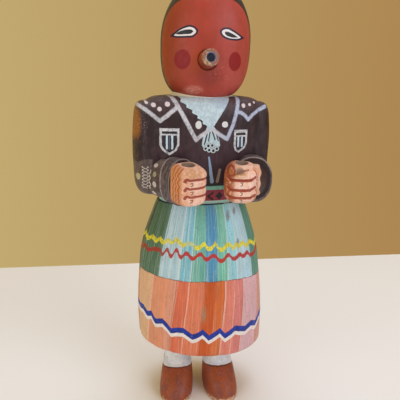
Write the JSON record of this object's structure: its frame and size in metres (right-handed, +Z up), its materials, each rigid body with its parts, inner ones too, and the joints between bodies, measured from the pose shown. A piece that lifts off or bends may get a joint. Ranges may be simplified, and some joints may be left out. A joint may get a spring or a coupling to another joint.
{
  "type": "kachina doll",
  "caption": "Carved and painted wooden doll of a masked girl in a jacket, belt, full skirt and shoes, fists held forward with an upright hole in each, a tube mouth in the mask.",
  "frame": {"origin": "on the floor, under the middle of the bounding box", "axes": "+Z up through the head; the doll faces -Y; +X is at its left hand"},
  "size_m": [0.0928, 0.092, 0.2899],
  "materials": {
    "painted_wood": "matt paint over carved cottonwood",
    "mask_red": "matt red paint with a bare rim"
  },
  "bodies": {
    "root": {"carved_figure": "painted_wood", "mouth_tube": "mask_red"}
  },
  "joints": []
}
